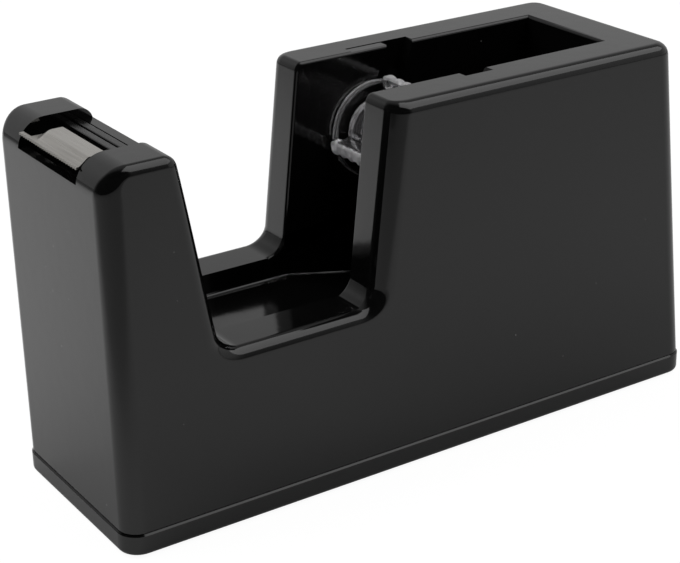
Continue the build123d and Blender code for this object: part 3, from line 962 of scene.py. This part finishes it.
class TAPE_OT_core(bpy.types.Operator):
    """Model the two halves of the clear core and the axle that they turn on"""

    bl_idname = "tape.core"
    bl_label = "Clear core and axle"

    def execute(self, context):
        clear = clear_styrene(context.scene.tape_finish.clear)
        for side, node in ((-1, "spool_half_near"), (1, "spool_half_far")):
            core = core_half(side, context.scene.tape_core.bumps)
            finish_piece(core, "core", "clear_plastic", clear, node)
            polish(core, 40)
        axle = rod("core_axle", AXLE_X, AXLE_Z, AXLE_RADIUS, -AXLE_HALF, AXLE_HALF, 64)
        bevel(axle, lambda e: abs(abs(middle(e).y) - AXLE_HALF) < 0.01, 0.3 * MM, 3)
        stubs = rod("stubs", AXLE_X, AXLE_Z, STUB_RADIUS, -STUB_HALF, STUB_HALF, 48)
        bevel(stubs, lambda e: abs(abs(middle(e).y) - STUB_HALF) < 0.01, 0.4 * MM, 3)
        combine(axle, stubs, "UNION")
        finish_piece(axle, "axle", "clear_plastic", clear, "spool_axle")
        polish(axle, 40)
        return {"FINISHED"}


class TAPE_OT_base(bpy.types.Operator):
    """Give the base, pad, weights and screws their finishes"""

    bl_idname = "tape.base"
    bl_label = "Base, weights and screws"

    def execute(self, context):
        finishes = {
            "base_plate": glossy_abs(context.scene.tape_finish.body),
            "non_slip_pad": pad_rubber(),
            "front_ballast": cast_iron(),
            "rear_ballast": cast_iron(),
            "base_screws": zinc_plate(),
            "ballast_screws": zinc_plate(),
        }
        for node, material in finishes.items():
            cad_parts[node].material_slots[0].material = material
        return {"FINISHED"}


# ---------------------------------------------------------------- stage


def seen_as_white(tree, shader, kind, direct, mirrored):
    """Mix in white. direct is its share for camera and transmission rays, mirrored for glossy rays.

    This stage gives mirrored as 0, so gloss and metal mirror the dim surroundings and not the white. With
    a share of 1 and these lamps, the object comes out brighter than in the photograph.
    """
    white = add_node(tree, kind, in_Color=linear("#FFFFFF"), in_Strength=WHITE_STRENGTH)
    path = add_node(tree, "ShaderNodeLightPath")
    straight = add_node(
        tree, "ShaderNodeMath",
        [(0, path.outputs["Is Camera Ray"]), (1, path.outputs["Is Transmission Ray"])], operation="MAXIMUM",
    )
    straight = add_node(tree, "ShaderNodeMath", [(0, straight.outputs[0])], operation="MULTIPLY", in_1=direct)
    gloss = add_node(
        tree, "ShaderNodeMath", [(0, path.outputs["Is Glossy Ray"])], operation="MULTIPLY", in_1=mirrored,
    )
    share = add_node(
        tree, "ShaderNodeMath", [(0, straight.outputs[0]), (1, gloss.outputs[0])], operation="MAXIMUM",
    )
    mix = add_node(tree, "ShaderNodeMixShader", [(0, share.outputs[0]), (1, shader), (2, white.outputs[0])])
    return mix.outputs[0]


def soft_lamp(scene, name, power, place, width, height):
    """Area lamp that faces the object."""
    data = bpy.data.lights.new(name, "AREA")
    data.shape = "RECTANGLE"
    data.size, data.size_y = width, height
    data.energy = power
    lamp = bpy.data.objects.new(name, data)
    lamp.location = place
    lamp.rotation_euler = (Vector((0, 0, 0.04)) - lamp.location).to_track_quat("-Z", "Y").to_euler()
    scene.collection.objects.link(lamp)
    return lamp


class TAPE_OT_stage(bpy.types.Operator):
    """Set up the pale floor, the soft light and the camera of the photograph"""

    bl_idname = "tape.stage"
    bl_label = "Stage"

    def execute(self, context):
        scene = context.scene
        settings = scene.tape_stage
        scene.view_settings.view_transform = "Standard"
        bpy.ops.object.select_all(action="DESELECT")
        # The table ends behind the camera, a little to its left, where the room is dark.
        turn = math.radians(35)
        away = Vector((math.cos(turn), math.sin(turn), 0))
        size, edge = 6.0, 0.6
        bpy.ops.mesh.primitive_plane_add(
            size=size, location=away * (size / 2 - edge), rotation=(0, 0, turn),
        )
        floor = context.active_object
        floor.name = floor.data.name = "floor"
        bpy.ops.object.transform_apply(location=True, rotation=True, scale=True)
        material, tree, output, place = new_material("pale_floor")
        near = add_node(
            tree, "ShaderNodeVectorMath", [(0, place)], operation="DOT_PRODUCT", in_1=tuple(-5.0 * away),
        )
        # The floor's colour is darkened towards that edge: painted shade, standing in for light that falls
        # off there.
        painted_falloff = add_node(tree, "ShaderNodeValToRGB", [("Fac", near.outputs["Value"])])
        pale = linear(settings.floor)
        ramp = painted_falloff.color_ramp
        # Stops of the painted shade: place along the floor, and the share of the pale colour kept there.
        for place_on_ramp, share in ((0.45, 1.0), (0.62, 0.9), (0.8, 0.64), (0.95, 0.58)):
            stop = ramp.elements.new(place_on_ramp)
            stop.color = tuple(c * share for c in pale[:3]) + (1.0,)
        ramp.elements[0].color = pale
        ramp.elements[-1].color = ramp.elements[-2].color
        diffuse = add_node(tree, "ShaderNodeBsdfDiffuse", [("Color", painted_falloff.outputs["Color"])])
        mixed = seen_as_white(tree, diffuse.outputs[0], "ShaderNodeEmission", direct=0.88, mirrored=0.0)
        tree.links.new(mixed, output.inputs["Surface"])
        floor.data.materials.append(material)

        world = bpy.data.worlds.new("surroundings")
        scene.world = world
        world.use_nodes = True
        tree = world.node_tree
        tree.nodes.clear()
        # The surroundings are bright behind the object, dimmer high up and nearly black behind the camera.
        facing = add_node(tree, "ShaderNodeTexCoord").outputs["Generated"]
        turned = add_node(
            tree, "ShaderNodeVectorMath", [(0, facing)], operation="DOT_PRODUCT", in_1=tuple(-away),
        )
        level = add_node(
            tree, "ShaderNodeMapRange", [("Value", turned.outputs["Value"])], interpolation_type="SMOOTHSTEP",
            in_1=-0.25, in_2=0.35, in_3=settings.sky_behind, in_4=settings.sky_ahead,
        )
        height = add_node(tree, "ShaderNodeSeparateXYZ", [("Vector", facing)])
        upper = add_node(
            tree, "ShaderNodeMapRange", [("Value", height.outputs["Z"])], interpolation_type="SMOOTHSTEP",
            in_1=0.48, in_2=0.7, in_3=1.0, in_4=0.55,
        )
        strength = add_node(
            tree, "ShaderNodeMath", [(0, level.outputs["Result"]), (1, upper.outputs["Result"])],
            operation="MULTIPLY",
        )
        sky = add_node(
            tree, "ShaderNodeBackground", [("Strength", strength.outputs[0])],
            in_Color=linear("#FFFFFF"),
        )
        mixed = seen_as_white(tree, sky.outputs[0], "ShaderNodeBackground", direct=1.0, mirrored=0.0)
        add_node(tree, "ShaderNodeOutputWorld", [("Surface", mixed)])

        soft_lamp(scene, "softbox", settings.softbox, SOFTBOX_PLACE, *SOFTBOX_SIDES)
        back_light = soft_lamp(
            scene, "back_light", settings.back_light, BACK_LIGHT_PLACE, *BACK_LIGHT_SIDES,
        )
        # It only fills in, and the gloss doesn't mirror it.
        back_light.visible_glossy = False

        yaw, pitch, roll = (math.radians(angle) for angle in CAMERA_TURN)
        x, y, z = (c * MM for c in CAMERA_PLACE)
        flat = math.cos(pitch)
        ahead = Vector((math.cos(yaw) * flat, math.sin(yaw) * flat, math.sin(pitch)))
        right = ahead.cross(Vector((0, 0, 1))).normalized()
        up = right.cross(ahead)
        right, up = (
            right * math.cos(roll) + up * math.sin(roll),
            up * math.cos(roll) - right * math.sin(roll),
        )
        camera_data = bpy.data.cameras.new("photo_camera")
        camera_data.sensor_width = 36.0
        camera_data.lens = settings.lens
        camera_data.clip_start = 0.01
        camera = bpy.data.objects.new("photo_camera", camera_data)
        camera.matrix_world = Matrix((
            (right.x, up.x, -ahead.x, x),
            (right.y, up.y, -ahead.y, y),
            (right.z, up.z, -ahead.z, z),
            (0, 0, 0, 1),
        ))
        scene.collection.objects.link(camera)
        scene.camera = camera
        return {"FINISHED"}


class TAPE_PT_panel(bpy.types.Panel):
    """Lists the pieces of the tape dispenser"""

    bl_idname = "TAPE_PT_panel"
    bl_label = "Tape Dispenser"
    bl_space_type = "VIEW_3D"
    bl_region_type = "UI"
    bl_category = "Tape Dispenser"

    def draw(self, context):
        for operator in OPERATORS:
            self.layout.operator(operator.bl_idname)
        for name in SETTINGS:
            group = getattr(context.scene, name)
            column = self.layout.column(align=True)
            for key in group.__annotations__:
                column.prop(group, key)


OPERATORS = (
    TAPE_OT_moulding, TAPE_OT_insert, TAPE_OT_blade, TAPE_OT_core, TAPE_OT_base, TAPE_OT_stage,
)
SETTINGS = {
    "tape_moulding": MouldingSettings,
    "tape_cutter": CutterSettings,
    "tape_core": CoreSettings,
    "tape_finish": FinishSettings,
    "tape_stage": StageSettings,
}


def register():
    """Register the settings, operators and panel, and put the settings on the scene."""
    for group in (*SETTINGS.values(), *OPERATORS, TAPE_PT_panel):
        bpy.utils.register_class(group)
    for name, group in SETTINGS.items():
        setattr(bpy.types.Scene, name, PointerProperty(type=group))


def unregister():
    """Undo register."""
    for name in SETTINGS:
        delattr(bpy.types.Scene, name)
    for group in reversed((*SETTINGS.values(), *OPERATORS, TAPE_PT_panel)):
        bpy.utils.unregister_class(group)


def main():
    """Make every piece and the stage."""
    register()
    bpy.ops.tape.moulding()
    bpy.ops.tape.insert()
    bpy.ops.tape.blade()
    bpy.ops.tape.core()
    bpy.ops.tape.base()
    bpy.ops.tape.stage()


if __name__ == "__main__":
    main()
